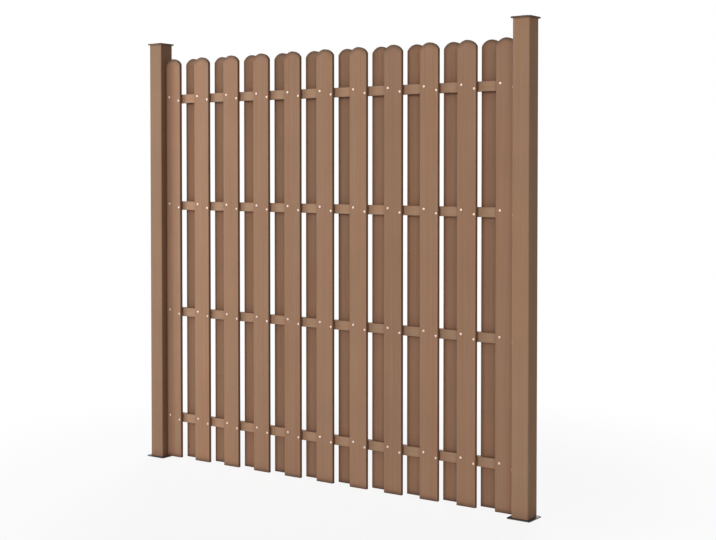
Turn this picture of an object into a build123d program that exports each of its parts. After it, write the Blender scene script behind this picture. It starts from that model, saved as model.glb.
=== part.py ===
from build123d import *
import os

# Composite fence panel. Two hollow posts stand on bolt-down feet and carry four hollow rails
# in folded brackets. Upright slats with rounded tops are fixed to both sides of the rails, and
# the back slats cover the gaps between the front ones.
# Sizes are in millimetres. +Z is up, X runs along the fence and -Y is its front. The origin is
# on the ground, midway between the posts.

# Posts
overall_height = 1850.0
post_spacing = 1830.0
post_width = 70.0
post_wall = 7.0
post_corner_radius = 4.0

# Post caps
cap_overhang = 6.0
cap_rim_height = 6.0
cap_peak_height = 6.0
cap_peak_flat = 6.0
cap_corner_radius = 3.0
cap_edge_chamfer = 1.0
cap_plug_depth = 18.0
cap_plug_wall = 2.5
push_fit_gap = 0.3
push_fit_chamfer = 2.0

# Feet
plate_width = 96.0
plate_thickness = 4.0
plate_corner_radius = 5.0
spigot_height = 140.0
spigot_wall = 2.5
anchor_hole_radius = 4.5
anchor_hole_inset = 8.0
foot_screw_height = 45.0
foot_screw_spacing = 60.0

# Slats
front_slat_count = 11
slat_width = 83.0
slat_thickness = 14.0
slat_crown = 25.0
slat_edge_chamfer = 1.5
slat_ground_gap = 6.0
slat_top_drop = 77.0
slat_post_gap = 2.0
slat_setback = 28.5

# Rails
rail_count = 4
rail_height = 38.0
rail_depth = 25.0
rail_wall = 3.0
rail_corner_radius = 2.0
rail_end_offset = 176.0
rail_end_gap = 1.2

# Rail brackets, folded from sheet
bracket_thickness = 2.0
bracket_bend_radius = 1.0
bracket_reach = 32.0
bracket_side_gap = 0.5
bracket_headroom = 0.3
bracket_post_screw_spacing = 18.0
bracket_rail_screw_offset = 20.0

# Screws with six-sided heads. Their shanks and holes are six-sided too, so that these many small
# pieces stay light.
screw_head_width = 8.0
screw_head_height = 3.0
screw_shank_radius = 2.4
screw_length = 18.0
screw_hole_gap = 0.1

# Sizes worked out from the ones above
post_x = post_spacing / 2
post_length = overall_height - plate_thickness - cap_rim_height - cap_peak_height
post_bore = post_width - 2 * post_wall
bore_fit_width = post_bore - 2 * push_fit_gap
post_inner_face_x = post_x - post_width / 2
slat_front_y = slat_setback - post_width / 2
rail_front_y = slat_front_y + slat_thickness
rail_back_y = rail_front_y + rail_depth
rail_mid_y = (rail_front_y + rail_back_y) / 2
slat_length = overall_height - slat_top_drop - slat_ground_gap
end_slat_x = post_inner_face_x - slat_post_gap - slat_width / 2
slat_pitch = 2 * end_slat_x / (front_slat_count - 1)
rail_pitch = (slat_length - 2 * rail_end_offset) / (rail_count - 1)
rail_length = 2 * (post_inner_face_x - bracket_thickness - rail_end_gap)


def rail_z(index):
    return slat_ground_gap + rail_end_offset + index * rail_pitch


def square_tube(outside, wall, length):
    width = outside.bounding_box().size.X
    bore = Rectangle(width - 2 * wall, width - 2 * wall)
    return extrude(outside - bore, length)


def bore_fit_tube(wall, length):
    # A square tube that fits inside a post.
    outside = Rectangle(bore_fit_width, bore_fit_width)
    return square_tube(chamfer(outside.vertices(), push_fit_chamfer), wall, length)


def hexagon_bar(radius, length):
    return extrude(RegularPolygon(radius, 6), length)


def screw():
    # The head stands on the surface at Z = 0 and the shank points down.
    head = extrude(RegularPolygon(screw_head_width / 2, 6, major_radius=False), screw_head_height)
    return head + Pos(0, 0, -screw_length) * hexagon_bar(screw_shank_radius, screw_length)


def screw_hole(depth):
    # It reaches as deep below Z = 0 as above it.
    return Pos(0, 0, -depth) * hexagon_bar(screw_shank_radius + screw_hole_gap, 2 * depth)


def bracket_screw_places():
    # Places in the left post's side: the screws point along -X.
    for index in range(rail_count):
        for side in (-1, 1):
            z = rail_z(index) + side * bracket_post_screw_spacing / 2
            yield Pos(-post_inner_face_x + bracket_thickness, rail_mid_y, z) * Rot(0, 90, 0)


def foot_screw_places():
    # Places in the left post's back: the screws point along -Y.
    for index in range(2):
        z = foot_screw_height + index * foot_screw_spacing
        yield Pos(-post_x, post_width / 2, z) * Rot(-90, 0, 0)


def rail_screw_places():
    # Places under the left ends of the rails: the screws point up.
    for index in range(rail_count):
        x = -post_inner_face_x + bracket_rail_screw_offset
        z = rail_z(index) - rail_height / 2 - bracket_thickness
        yield Pos(x, rail_mid_y, z) * Rot(180, 0, 0)


def left_post():
    outside = RectangleRounded(post_width, post_width, post_corner_radius)
    post = Pos(-post_x, 0, plate_thickness) * square_tube(outside, post_wall, post_length)
    hole = screw_hole(post_wall + 2 * bracket_thickness)
    for place in list(bracket_screw_places()) + list(foot_screw_places()):
        post -= place * hole
    return post


def left_cap():
    width = post_width + 2 * cap_overhang
    rim = extrude(RectangleRounded(width, width, cap_corner_radius), cap_rim_height)
    rim = chamfer(rim.faces().sort_by(Axis.Z)[-1].edges(), cap_edge_chamfer)
    peak_base = width - 2 * cap_edge_chamfer - 2 * cap_corner_radius
    flat_edge = (peak_base - cap_peak_flat) / 2
    peak = Wedge(
        peak_base,
        cap_peak_height,
        peak_base,
        flat_edge,
        flat_edge,
        peak_base - flat_edge,
        peak_base - flat_edge,
        rotation=(90, 0, 0),
    )
    plug = bore_fit_tube(cap_plug_wall, cap_plug_depth)
    cap = rim + Pos(0, 0, cap_rim_height + cap_peak_height / 2) * peak + Pos(0, 0, -cap_plug_depth) * plug
    return Pos(-post_x, 0, plate_thickness + post_length) * cap


def left_foot():
    plate = extrude(RectangleRounded(plate_width, plate_width, plate_corner_radius), plate_thickness)
    hole_spacing = plate_width - 2 * anchor_hole_inset
    hole = Cylinder(anchor_hole_radius, 3 * plate_thickness)
    for place in GridLocations(hole_spacing, hole_spacing, 2, 2):
        plate -= place * hole
    spigot = bore_fit_tube(spigot_wall, spigot_height)
    foot = Pos(-post_x, 0, 0) * (plate + Pos(0, 0, plate_thickness) * spigot)
    for place in foot_screw_places():
        foot -= place * screw_hole(post_wall + push_fit_gap + 2 * spigot_wall)
    return foot


def rail(index):
    outside = RectangleRounded(rail_depth, rail_height, rail_corner_radius)
    bore = Rectangle(rail_depth - 2 * rail_wall, rail_height - 2 * rail_wall)
    section = Plane.YZ * (outside - bore)
    beam = Pos(0, rail_mid_y, rail_z(index)) * extrude(section, rail_length / 2, both=True)
    left_place = list(rail_screw_places())[index]
    for place in (left_place, Pos(-2 * left_place.position.X, 0, 0) * left_place):
        beam -= place * screw_hole(bracket_thickness + 2 * rail_wall)
    return beam


def left_bracket(index):
    # A sheet folded to a C: the web lies on the post, the two flanges hold the rail's end.
    space = rail_height + bracket_headroom
    middle_z = bracket_headroom / 2
    outside = Pos(bracket_reach / 2, middle_z) * Rectangle(bracket_reach, space + 2 * bracket_thickness)
    outside = fillet(outside.vertices().group_by(Axis.X)[0], bracket_bend_radius + bracket_thickness)
    inside = Pos((bracket_reach + bracket_thickness) / 2, middle_z) * Rectangle(
        bracket_reach - bracket_thickness, space
    )
    inside = fillet(inside.vertices().group_by(Axis.X)[0], bracket_bend_radius)
    depth = rail_depth - 2 * bracket_side_gap
    sheet = extrude(Plane.XZ * (outside - inside), depth / 2, both=True)
    bracket = Pos(-post_inner_face_x, rail_mid_y, rail_z(index)) * sheet
    places = list(bracket_screw_places())[2 * index : 2 * index + 2]
    places.append(list(rail_screw_places())[index])
    for place in places:
        bracket -= place * screw_hole(2 * bracket_thickness)
    return bracket


def slat():
    # Standing on Z = 0, with its front face at Y = 0.
    half = slat_width / 2
    shoulder = slat_length - slat_crown
    sides = Polyline((-half, shoulder), (-half, 0), (half, 0), (half, shoulder))
    crown = ThreePointArc((half, shoulder), (0, slat_length), (-half, shoulder))
    face = Plane.XZ.offset(-slat_thickness) * make_face(sides + crown)
    board = extrude(face, slat_thickness)
    rims = board.faces().sort_by(Axis.Y)
    edges = rims[0].edges() + rims[-1].edges()
    sawn_end = edges.group_by(Axis.Z)[0]
    return chamfer(edges - sawn_end, slat_edge_chamfer)


def front_slat(index):
    return Pos(index * slat_pitch - end_slat_x, slat_front_y, slat_ground_gap) * slat()


def back_slat(index):
    return Pos((index + 0.5) * slat_pitch - end_slat_x, rail_back_y, slat_ground_gap) * slat()


def screw_group(places):
    return Compound(children=[place * screw() for place in places])


def save(name, shape):
    export_step(shape, "parts/" + name + ".step")


def save_pair(name, left_shape):
    # The right side of the fence is the mirror image of the left.
    save("left_" + name, left_shape)
    save("right_" + name, mirror(left_shape, Plane.YZ))


os.makedirs("parts", exist_ok=True)
save_pair("post", left_post())
save_pair("post_cap", left_cap())
save_pair("foot", left_foot())
save_pair("bracket_screws", screw_group(bracket_screw_places()))
save_pair("rail_screws", screw_group(rail_screw_places()))
save_pair("foot_screws", screw_group(foot_screw_places()))
for number in range(1, rail_count + 1):
    save(f"rail_{number}", rail(number - 1))
    save_pair(f"bracket_{number}", left_bracket(number - 1))
for number in range(1, front_slat_count + 1):
    save(f"front_slat_{number:02d}", front_slat(number - 1))
for number in range(1, front_slat_count):
    save(f"back_slat_{number:02d}", back_slat(number - 1))
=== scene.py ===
import math

import bmesh
import bpy
from mathutils import Matrix, Vector


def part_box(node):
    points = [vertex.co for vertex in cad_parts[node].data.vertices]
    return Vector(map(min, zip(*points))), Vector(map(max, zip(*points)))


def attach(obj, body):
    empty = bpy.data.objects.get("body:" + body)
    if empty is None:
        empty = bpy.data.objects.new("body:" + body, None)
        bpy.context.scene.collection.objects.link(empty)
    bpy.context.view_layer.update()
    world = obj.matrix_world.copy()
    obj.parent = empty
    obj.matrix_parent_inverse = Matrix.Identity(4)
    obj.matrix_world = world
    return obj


# Composite fence panel: the looks of the posts, slats, rails, caps and feet, with the screws that
# hold the slats. Lengths are in metres, angles in degrees, and colours are linear.

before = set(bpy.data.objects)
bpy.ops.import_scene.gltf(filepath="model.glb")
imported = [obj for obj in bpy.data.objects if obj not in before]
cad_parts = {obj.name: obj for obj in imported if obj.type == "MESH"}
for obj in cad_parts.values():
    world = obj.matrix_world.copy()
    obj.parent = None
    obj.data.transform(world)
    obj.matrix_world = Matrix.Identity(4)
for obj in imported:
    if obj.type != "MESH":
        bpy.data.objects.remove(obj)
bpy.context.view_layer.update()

# Slat screws. The upper one of each pair stands SCREW_TOP_INSET from the slat's left edge and the
# lower one SCREW_LOW_INSET from its right edge, each SCREW_RISE away from the rail's middle.
RAIL_COUNT = 4
SCREW_TOP_INSET = 0.0187
SCREW_LOW_INSET = 0.0085
SCREW_RISE = 0.008
SCREW_RADIUS = 0.0048
SCREW_HEIGHT = 0.0015
SCREW_SUNK = 0.0003
# Rings of the head from its side to its top, in parts of its radius and height
SCREW_HEAD_RINGS = ((1.0, 0.3), (0.93, 0.62), (0.75, 0.9), (0.5, 1.0))
# The six-lobed recess for the driver, in parts of the head's radius and height
DRIVE_LOBES = 6
DRIVE_LOBE_SIZE = 0.05
DRIVE_RIM_RADIUS = 0.36
DRIVE_FOOT_RADIUS = 0.33
DRIVE_FOOT_HEIGHT = 0.1
DRIVE_POINT_RADIUS = 0.1
RING_POINTS = 24

# Camera, fitted to the photograph
IMAGE_WIDTH = 716
SENSOR_WIDTH = 36.0
FOCAL_PIXELS = 1310.7
SHIFT_DOWN_PIXELS = 66.6
CAMERA_PLACE = (3.1970, -4.2736, 1.2870)
CAMERA_TURN = 35.367
CAMERA_DIP = 1.5
CAMERA_REACH = 100.0

# Light
SKY_STRENGTH = 0.048
LAMP_SPREAD = 26.0
LAMPS = (
    # name, degrees to the right of the fence's front, degrees up, strength
    ("front", -15.0, 12.0, 1.15),
    ("right", 45.0, 12.0, 0.58),
    ("back", -150.0, 30.0, 1.8),
)
SOFT_BOX_PLACE = (-3.0, -1.3, 1.75)
SOFT_BOX_WIDTH = 0.9
SOFT_BOX_HEIGHT = 1.8
SOFT_BOX_POWER = 49.0
PANEL_MIDDLE = (0.0, 0.0, 0.9)

# Floor. FLOOR_WHITE is how much of it is plain white under the fence, and the rest shows shadow.
FLOOR_REACH = 30.0
FLOOR_DROP = 0.0004
FLOOR_COLOUR = (0.75, 0.75, 0.75)
FLOOR_WHITE = 0.9
FLOOR_FADE_START = 0.9
FLOOR_FADE_END = 2.4

# Colours
WHITE = (1.0, 1.0, 1.0)
SLAT_COLOUR = (0.355, 0.201, 0.121)
RAIL_COLOUR = (0.413, 0.249, 0.154)
POST_COLOUR = (0.341, 0.199, 0.119)
CAP_COLOUR = (0.167, 0.106, 0.074)
PLATE_COLOUR = (0.022, 0.017, 0.016)
ZINC_COLOUR = (0.60, 0.60, 0.60)
SCREW_COLOUR = (0.72, 0.58, 0.49)
# Factors for the warmer and the cooler streaks of the wood-plastic
WARM_STREAK = (1.05, 0.96, 0.90)
COOL_STREAK = (0.95, 1.02, 1.06)
# Dust on the coated steel: how much paler it is, the noise it lies between and how much covers
DUST_PALER = (2.2, 2.2, 2.2)
DUST_RANGE = (0.45, 0.8)
DUST_SHARE = 0.6

# Spacing of the boards, so that each gets a tone of its own
SLAT_STEP = 0.08365
RAIL_STEP = 0.47
POST_STEP = 1.0
BOARD_TONE = (0.95, 1.05)

# How much the streaks, brush lines, mottling and speckles of the wood-plastic change its tone, and
# how far from a half each noise reaches
LAYER_TONES = ((0.05, 0.2), (0.06, 0.25), (0.04, 0.2), (0.03, 0.2))
HUE_REACH = 0.15

# Noises: repeats per metre, detail and roughness
MOTTLE = (5.0, 3.0, 0.55)
SPECKLE = (700.0, 2.0, 0.6)
CAP_GRAIN = (900.0, 2.0, 0.6)
CAP_CLOUD = (30.0, 3.0, 0.5)
COAT_PEEL = (450.0, 2.0, 0.5)
COAT_DUST = (40.0, 4.0, 0.6)
# Long noises: repeats per metre along and across, detail and roughness
STREAKS = (1.5, 110.0, 4.0, 0.6)
BRUSH_LINES = (5.0, 600.0, 2.0, 0.5)
SCRATCHES = (200.0, 1500.0, 3.0, 0.6)
SPANGLE_SCALE = 260.0

# Bumps: depth and strength
COMPOSITE_BUMP = (0.0004, 0.5)
CAP_BUMP = (0.0002, 0.4)
COAT_BUMP = (0.0002, 0.4)
# Shares of the brush lines and the speckles in the wood-plastic's bump
BRUSH_HEIGHT = 0.7
SPECKLE_HEIGHT = 0.3

# Roughness from the smoothest to the roughest spot, and tone from the darkest to the palest
COMPOSITE_ROUGHNESS = (0.72, 0.82)
CAP_ROUGHNESS = (0.62, 0.75)
COAT_ROUGHNESS = (0.42, 0.6)
ZINC_ROUGHNESS = (0.32, 0.5)
STEEL_ROUGHNESS = (0.42, 0.55)
CAP_TONES = (0.93, 1.07)
ZINC_TONES = (0.8, 1.1)
STEEL_TONES = (0.92, 1.05)
COMPOSITE_GLOSS = 0.3
CAP_GLOSS = 0.15
STEEL_METALLIC = 0.7

# Painted shade: darker and redder recesses between the boards, from ambient occlusion. The tint is
# full at RECESS_FULL of the open light.
RECESS_REACH = 0.05
RECESS_SHADE_TINT = (0.74, 0.66, 0.66)
RECESS_FULL = 0.3
RECESS_SAMPLES = 6

# Painted shade on the slats' edge faces and chamfers, darker than the broad faces. The Y part of
# a face's normal tells them: a face below the first number of EDGE_TURN is an edge, and one above
# the second is a broad face.
EDGE_SHADE = 0.7
EDGE_TURN = (0.75, 0.95)

# Painted shade: dark bands along the rims of the slats' ends. The shade is full where the Z part of
# the rounded normal is RIM_TILT.
RIM_SHADE = 0.25
RIM_TILT = 0.7
RIM_WIDTH = 0.027
RIM_SAMPLES = 6

# Painted light and shade: the left post darker and the right one paler, evening out the soft box,
# which lights the left end most; and how far the posts stand from the middle
POST_TONES = (0.88, 1.2)
POST_TONES_REACH = 0.9


class Nodes:
    """A short way to build the node tree of a material or a world."""

    def __init__(self, owner, output_kind):
        self.owner = owner
        owner.use_nodes = True
        self.tree = owner.node_tree
        self.tree.nodes.clear()
        self.surface = self.add(output_kind).inputs["Surface"]

    def add(self, kind, **values):
        node = self.tree.nodes.new(kind)
        for key, value in values.items():
            setattr(node, key, value)
        return node

    def set(self, socket, value):
        """Links the socket to another one, or gives it a number, a vector or a colour."""
        if isinstance(value, bpy.types.NodeSocket):
            self.tree.links.new(value, socket)
        elif socket.type == "RGBA":
            socket.default_value = (*value, 1.0)
        else:
            socket.default_value = value

    def fill(self, node, values):
        for name, value in values.items():
            self.set(node.inputs[name], value)
        return node

    def math(self, operation, first, second=None):
        node = self.add("ShaderNodeMath", operation=operation)
        self.set(node.inputs[0], first)
        if second is not None:
            self.set(node.inputs[1], second)
        return node.outputs[0]

    def spread(self, value, low, high, new_low, new_high, kind="LINEAR"):
        """Stretches the range from low to high to the one from new_low to new_high."""
        node = self.add("ShaderNodeMapRange", interpolation_type=kind)
        ends = {"From Min": low, "From Max": high, "To Min": new_low, "To Max": new_high}
        return self.fill(node, {"Value": value, **ends}).outputs[0]

    def noise_to(self, noise, low, high, reach=0.2):
        """Turns a noise, most of which lies within reach of a half, into values from low to high."""
        return self.spread(noise, 0.5 - reach, 0.5 + reach, low, high)

    def place(self):
        return self.add("ShaderNodeTexCoord").outputs["Object"]

    def split(self, vector):
        node = self.add("ShaderNodeSeparateXYZ")
        self.set(node.inputs[0], vector)
        return node.outputs

    def noise(self, vector, scale, detail, roughness):
        node = self.add("ShaderNodeTexNoise")
        values = {"Vector": vector, "Scale": scale, "Detail": detail, "Roughness": roughness}
        return self.fill(node, values).outputs["Fac"]

    def long_noise(self, place, axis, along, across, detail, roughness):
        """Noise that is drawn out along an axis, as brushing leaves it."""
        scale = [across, across, across]
        scale["XYZ".index(axis)] = along
        node = self.fill(self.add("ShaderNodeMapping"), {"Vector": place, "Scale": scale})
        return self.noise(node.outputs[0], 1.0, detail, roughness)

    def mix(self, factor, first, second):
        node = self.add("ShaderNodeMix", data_type="RGBA")
        colour_factor, first_colour, second_colour = node.inputs[0], node.inputs[6], node.inputs[7]
        self.set(colour_factor, factor)
        self.set(first_colour, first)
        self.set(second_colour, second)
        return node.outputs[2]

    def mix_shaders(self, factor, first, second):
        node = self.add("ShaderNodeMixShader")
        for socket, value in zip(node.inputs, (factor, first, second)):
            self.set(socket, value)
        return node.outputs[0]

    def product(self, first, second):
        node = self.add("ShaderNodeVectorMath", operation="MULTIPLY")
        self.set(node.inputs[0], first)
        self.set(node.inputs[1], second)
        return node.outputs[0]

    def tint(self, colour, amount):
        node = self.add("ShaderNodeVectorMath", operation="SCALE")
        self.set(node.inputs[0], colour)
        self.set(node.inputs["Scale"], amount)
        return node.outputs[0]

    def bump(self, height, depth, strength):
        values = {"Height": height, "Distance": depth, "Strength": strength}
        return self.fill(self.add("ShaderNodeBump"), values).outputs[0]

    def finish(self, colour, roughness, **others):
        """Makes the material's shader and returns the material."""
        shader = self.add("ShaderNodeBsdfPrincipled")
        self.fill(shader, {"Base Color": colour, "Roughness": roughness, **others})
        self.set(self.surface, shader.outputs[0])
        return self.owner


def material_nodes(name):
    return Nodes(bpy.data.materials.new(name), "ShaderNodeOutputMaterial")


def multiplied(colour, factors):
    return tuple(part * factor for part, factor in zip(colour, factors))


def board_tone(nodes, across, step):
    """A slightly different tone for each board, by its place across the grain."""
    board = nodes.add("ShaderNodeTexWhiteNoise", noise_dimensions="1D")
    nodes.set(board.inputs["W"], nodes.math("ROUND", nodes.math("DIVIDE", across, step)))
    return nodes.spread(board.outputs["Value"], 0.0, 1.0, *BOARD_TONE)


def painted_recess_shade(nodes):
    """Painted shade: the wood-plastic darker and redder where boards stand close to each other."""
    light = nodes.add("ShaderNodeAmbientOcclusion", samples=RECESS_SAMPLES)
    nodes.set(light.inputs["Distance"], RECESS_REACH)
    openness = nodes.spread(light.outputs["AO"], RECESS_FULL, 1.0, 0.0, 1.0)
    return nodes.mix(openness, RECESS_SHADE_TINT, WHITE)


def painted_edge_shade(nodes):
    """Painted shade: edge faces and chamfers darker than the broad faces."""
    normal = nodes.add("ShaderNodeNewGeometry").outputs["True Normal"]
    broad = nodes.math("ABSOLUTE", nodes.split(normal)["Y"])
    return nodes.spread(broad, *EDGE_TURN, EDGE_SHADE, 1.0)


def painted_rim_shade(nodes):
    """Painted shade: a dark band along the rims of the slats' ends."""
    rounded = nodes.add("ShaderNodeBevel", samples=RIM_SAMPLES)
    nodes.set(rounded.inputs["Radius"], RIM_WIDTH)
    tilt = nodes.math("ABSOLUTE", nodes.split(rounded.outputs[0])["Z"])
    return nodes.spread(tilt, 0.0, RIM_TILT, 1.0, RIM_SHADE)


def painted_post_light(nodes):
    """Painted light and shade: the right post paler than the left, evening out the soft box."""
    x = nodes.split(nodes.place())["X"]
    return nodes.spread(x, -POST_TONES_REACH, POST_TONES_REACH, *POST_TONES)


def composite(name, colour, grain_along, board_step, more_tones=()):
    """Brushed wood-plastic: streaks and brush lines along the board, mottling and speckles."""
    nodes = material_nodes(name)
    place = nodes.place()
    streaks = nodes.long_noise(place, grain_along, *STREAKS)
    brush = nodes.long_noise(place, grain_along, *BRUSH_LINES)
    mottle = nodes.noise(place, *MOTTLE)
    speckle = nodes.noise(place, *SPECKLE)
    across = nodes.split(place)["Z" if grain_along == "X" else "X"]
    tone = board_tone(nodes, across, board_step)
    for layer, (change, reach) in zip((streaks, brush, mottle, speckle), LAYER_TONES):
        factor = nodes.noise_to(layer, 1.0 - change, 1.0 + change, reach)
        tone = nodes.math("MULTIPLY", tone, factor)
    warm = multiplied(colour, WARM_STREAK)
    cool = multiplied(colour, COOL_STREAK)
    hue = nodes.mix(nodes.noise_to(streaks, 0.0, 1.0, HUE_REACH), warm, cool)
    # Painted shade: the recess tint darkens and reddens the wood-plastic between the boards.
    body = nodes.tint(nodes.product(hue, painted_recess_shade(nodes)), tone)
    # Painted shade and light: the further tones darken the slats' edges and rims and even out the
    # posts.
    for more_tone in more_tones:
        body = nodes.tint(body, more_tone(nodes))
    lines = nodes.math("MULTIPLY", brush, BRUSH_HEIGHT)
    height = nodes.math("ADD", lines, nodes.math("MULTIPLY", speckle, SPECKLE_HEIGHT))
    normal = nodes.bump(height, *COMPOSITE_BUMP)
    rough = nodes.noise_to(brush, *COMPOSITE_ROUGHNESS)
    return nodes.finish(body, rough, **{"Normal": normal, "Specular IOR Level": COMPOSITE_GLOSS})


def cap_plastic():
    nodes = material_nodes("cap_plastic")
    place = nodes.place()
    cloud = nodes.noise(place, *CAP_CLOUD)
    colour = nodes.tint(CAP_COLOUR, nodes.noise_to(cloud, *CAP_TONES))
    rough = nodes.noise_to(cloud, *CAP_ROUGHNESS)
    normal = nodes.bump(nodes.noise(place, *CAP_GRAIN), *CAP_BUMP)
    return nodes.finish(colour, rough, **{"Normal": normal, "Specular IOR Level": CAP_GLOSS})


def coated_steel():
    nodes = material_nodes("coated_steel")
    place = nodes.place()
    dust = nodes.noise(place, *COAT_DUST)
    dusty = nodes.spread(dust, *DUST_RANGE, 0.0, DUST_SHARE)
    colour = nodes.mix(dusty, PLATE_COLOUR, multiplied(PLATE_COLOUR, DUST_PALER))
    rough = nodes.noise_to(dust, *COAT_ROUGHNESS)
    normal = nodes.bump(nodes.noise(place, *COAT_PEEL), *COAT_BUMP)
    return nodes.finish(colour, rough, Normal=normal)


def zinc():
    nodes = material_nodes("zinc")
    spangle = nodes.add("ShaderNodeTexVoronoi")
    nodes.fill(spangle, {"Vector": nodes.place(), "Scale": SPANGLE_SCALE})
    cells = nodes.add("ShaderNodeSeparateColor")
    nodes.set(cells.inputs[0], spangle.outputs["Color"])
    shade = nodes.spread(cells.outputs[0], 0.0, 1.0, *ZINC_TONES)
    rough = nodes.spread(cells.outputs[1], 0.0, 1.0, *ZINC_ROUGHNESS)
    return nodes.finish(nodes.tint(ZINC_COLOUR, shade), rough, Metallic=1.0)


def bright_steel():
    nodes = material_nodes("bright_steel")
    scratch = nodes.long_noise(nodes.place(), "Z", *SCRATCHES)
    shade = nodes.noise_to(scratch, *STEEL_TONES)
    rough = nodes.noise_to(scratch, *STEEL_ROUGHNESS)
    return nodes.finish(nodes.tint(SCREW_COLOUR, shade), rough, Metallic=STEEL_METALLIC)


def lathe(mesh, place, rings):
    """Adds a turned form to mesh: rings of points, each a list of (radius, height) by angle."""
    loops = []
    for ring in rings:
        loop = []
        for step, (radius, height) in enumerate(ring):
            angle = 2 * math.pi * step / len(ring)
            point = Vector((radius * math.cos(angle), radius * math.sin(angle), height))
            loop.append(mesh.verts.new(place @ point))
        loops.append(loop)
    for low, high in zip(loops, loops[1:]):
        for step in range(len(low)):
            after = (step + 1) % len(low)
            mesh.faces.new((low[step], low[after], high[after], high[step]))
    mesh.faces.new(list(reversed(loops[0])))
    mesh.faces.new(loops[-1])


def circle(radius, height):
    return [(radius, height)] * RING_POINTS


def lobed_ring(radius, height):
    """A ring whose radius swells DRIVE_LOBES times round the head."""
    swell = DRIVE_LOBE_SIZE * SCREW_RADIUS
    turns = [2 * math.pi * step / RING_POINTS for step in range(RING_POINTS)]
    return [(radius + swell * math.cos(DRIVE_LOBES * turn), height) for turn in turns]


def slat_screw_rings():
    """A low domed head, from the slat's face up and down again into the driver's recess."""
    rings = [circle(SCREW_RADIUS, -SCREW_SUNK)]
    for radius, height in SCREW_HEAD_RINGS:
        rings.append(circle(radius * SCREW_RADIUS, height * SCREW_HEIGHT))
    rings.append(lobed_ring(DRIVE_RIM_RADIUS * SCREW_RADIUS, SCREW_HEIGHT))
    rings.append(lobed_ring(DRIVE_FOOT_RADIUS * SCREW_RADIUS, DRIVE_FOOT_HEIGHT * SCREW_HEIGHT))
    rings.append(circle(DRIVE_POINT_RADIUS * SCREW_RADIUS, 0.0))
    return rings


def fasteners(name, places, rings, material):
    mesh = bmesh.new()
    for place in places:
        lathe(mesh, place, rings)
    bmesh.ops.recalc_face_normals(mesh, faces=mesh.faces)
    data = bpy.data.meshes.new(name)
    mesh.to_mesh(data)
    mesh.free()
    data.materials.append(material)
    piece = bpy.data.objects.new(name, data)
    bpy.context.scene.collection.objects.link(piece)
    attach(piece, "root")


def slat_screws(side, steel):
    """Two screws through each slat at each rail, the upper one on the left as one faces the slat."""
    facing = -1 if side == "front" else 1
    turned = Matrix.Rotation(math.radians(-90 * facing), 4, "X")
    places = []
    for slat in sorted(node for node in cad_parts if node.startswith(side + "_slat")):
        low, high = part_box(slat)
        face = low.y if side == "front" else high.y
        left, right = (low.x, high.x) if side == "front" else (high.x, low.x)
        for rail in range(1, RAIL_COUNT + 1):
            rail_low, rail_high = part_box(f"rail_{rail}")
            middle = (rail_low.z + rail_high.z) / 2
            upper = left - facing * SCREW_TOP_INSET
            lower = right + facing * SCREW_LOW_INSET
            for x, z in ((upper, middle + SCREW_RISE), (lower, middle - SCREW_RISE)):
                places.append(Matrix.Translation((x, face, z)) @ turned)
    fasteners(f"{side}_slat_screws", places, slat_screw_rings(), steel)


def dress(material, *starts):
    """Gives the material to the pieces whose names start so. A later call may take some of them."""
    for name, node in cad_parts.items():
        if name.startswith(starts):
            node.data.materials.clear()
            node.data.materials.append(material)


def background(nodes, strength):
    node = nodes.add("ShaderNodeBackground")
    return nodes.fill(node, {"Color": WHITE, "Strength": strength}).outputs[0]


def white_room():
    """White for the camera and in reflections, and a soft even light for the rest."""
    world = bpy.data.worlds.new("room")
    bpy.context.scene.world = world
    nodes = Nodes(world, "ShaderNodeOutputWorld")
    rays = nodes.add("ShaderNodeLightPath").outputs
    seen = nodes.math("MAXIMUM", rays["Is Camera Ray"], rays["Is Transmission Ray"])
    seen = nodes.math("MAXIMUM", seen, rays["Is Glossy Ray"])
    mixed = nodes.mix_shaders(seen, background(nodes, SKY_STRENGTH), background(nodes, 1.0))
    nodes.set(nodes.surface, mixed)


def floor_material():
    nodes = material_nodes("floor")
    distance = nodes.add("ShaderNodeVectorMath", operation="LENGTH")
    nodes.set(distance.inputs[0], nodes.place())
    fade = nodes.spread(
        distance.outputs["Value"], FLOOR_FADE_START, FLOOR_FADE_END, FLOOR_WHITE, 1.0, "SMOOTHSTEP"
    )
    rays = nodes.add("ShaderNodeLightPath").outputs
    seen = nodes.math("MAXIMUM", rays["Is Camera Ray"], rays["Is Glossy Ray"])
    diffuse = nodes.fill(nodes.add("ShaderNodeBsdfDiffuse"), {"Color": FLOOR_COLOUR})
    white = nodes.add("ShaderNodeEmission")
    whiteness = nodes.math("MULTIPLY", seen, fade)
    nodes.set(nodes.surface, nodes.mix_shaders(whiteness, diffuse.outputs[0], white.outputs[0]))
    return nodes.owner


def floor():
    """A pale floor that keeps the object's shadow and fades to the white of the room."""
    data = bpy.data.meshes.new("floor")
    corners = [(x * FLOOR_REACH, y * FLOOR_REACH, 0) for x, y in ((-1, -1), (1, -1), (1, 1), (-1, 1))]
    data.from_pydata(corners, [], [(0, 1, 2, 3)])
    data.materials.append(floor_material())
    plane = bpy.data.objects.new("floor", data)
    bpy.context.scene.collection.objects.link(plane)
    plane.location.z = -FLOOR_DROP


def lamp(name, kind, power, facing):
    light = bpy.data.lights.new(name, kind)
    light.energy = power
    thing = bpy.data.objects.new(name, light)
    bpy.context.scene.collection.objects.link(thing)
    thing.rotation_euler = Vector(facing).to_track_quat("-Z", "Y").to_euler()
    thing.visible_camera = False
    return thing


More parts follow.
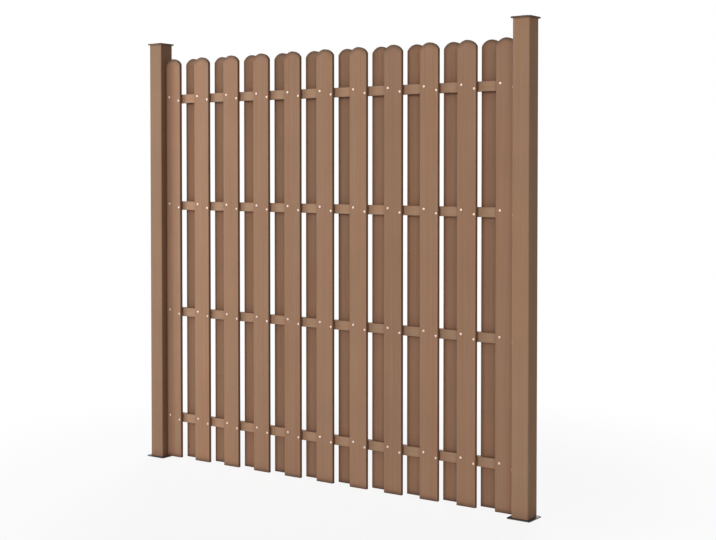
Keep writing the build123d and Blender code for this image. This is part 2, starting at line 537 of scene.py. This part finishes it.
def lights():
    """A soft box on the left, close enough to light the left end most, and lamps round the fence."""
    for name, azimuth, elevation, strength in LAMPS:
        turn = math.radians(azimuth)
        rise = math.radians(elevation)
        level = math.cos(rise)
        facing = (-math.sin(turn) * level, math.cos(turn) * level, -math.sin(rise))
        lamp(name, "SUN", strength, facing).data.angle = math.radians(LAMP_SPREAD)
    box = lamp("key", "AREA", SOFT_BOX_POWER, Vector(PANEL_MIDDLE) - Vector(SOFT_BOX_PLACE))
    box.location = SOFT_BOX_PLACE
    box.data.shape = "RECTANGLE"
    box.data.size = SOFT_BOX_WIDTH
    box.data.size_y = SOFT_BOX_HEIGHT


def camera():
    data = bpy.data.cameras.new("camera")
    data.sensor_width = SENSOR_WIDTH
    data.lens = FOCAL_PIXELS / IMAGE_WIDTH * SENSOR_WIDTH
    data.shift_y = -SHIFT_DOWN_PIXELS / IMAGE_WIDTH
    data.clip_end = CAMERA_REACH
    view = bpy.data.objects.new("camera", data)
    bpy.context.scene.collection.objects.link(view)
    view.location = CAMERA_PLACE
    view.rotation_euler = (math.radians(90.0 - CAMERA_DIP), 0.0, math.radians(CAMERA_TURN))
    bpy.context.scene.camera = view


slat_composite = composite("slat_composite", SLAT_COLOUR, "Z", SLAT_STEP, (painted_edge_shade, painted_rim_shade))
rail_composite = composite("rail_composite", RAIL_COLOUR, "X", RAIL_STEP)
post_composite = composite("post_composite", POST_COLOUR, "Z", POST_STEP, (painted_post_light,))
steel = bright_steel()
dress(slat_composite, "front_slat", "back_slat")
dress(rail_composite, "rail_")
dress(post_composite, "left_post", "right_post")
dress(cap_plastic(), "left_post_cap", "right_post_cap")
dress(coated_steel(), "left_foot", "right_foot")
dress(zinc(), "left_bracket", "right_bracket")
dress(steel, "left_bracket_screws", "right_bracket_screws", "left_rail_screws", "right_rail_screws")
dress(steel, "left_foot_screws", "right_foot_screws")
slat_screws("front", steel)
slat_screws("back", steel)
white_room()
floor()
lights()
camera()
bpy.context.scene.view_settings.view_transform = "Standard"
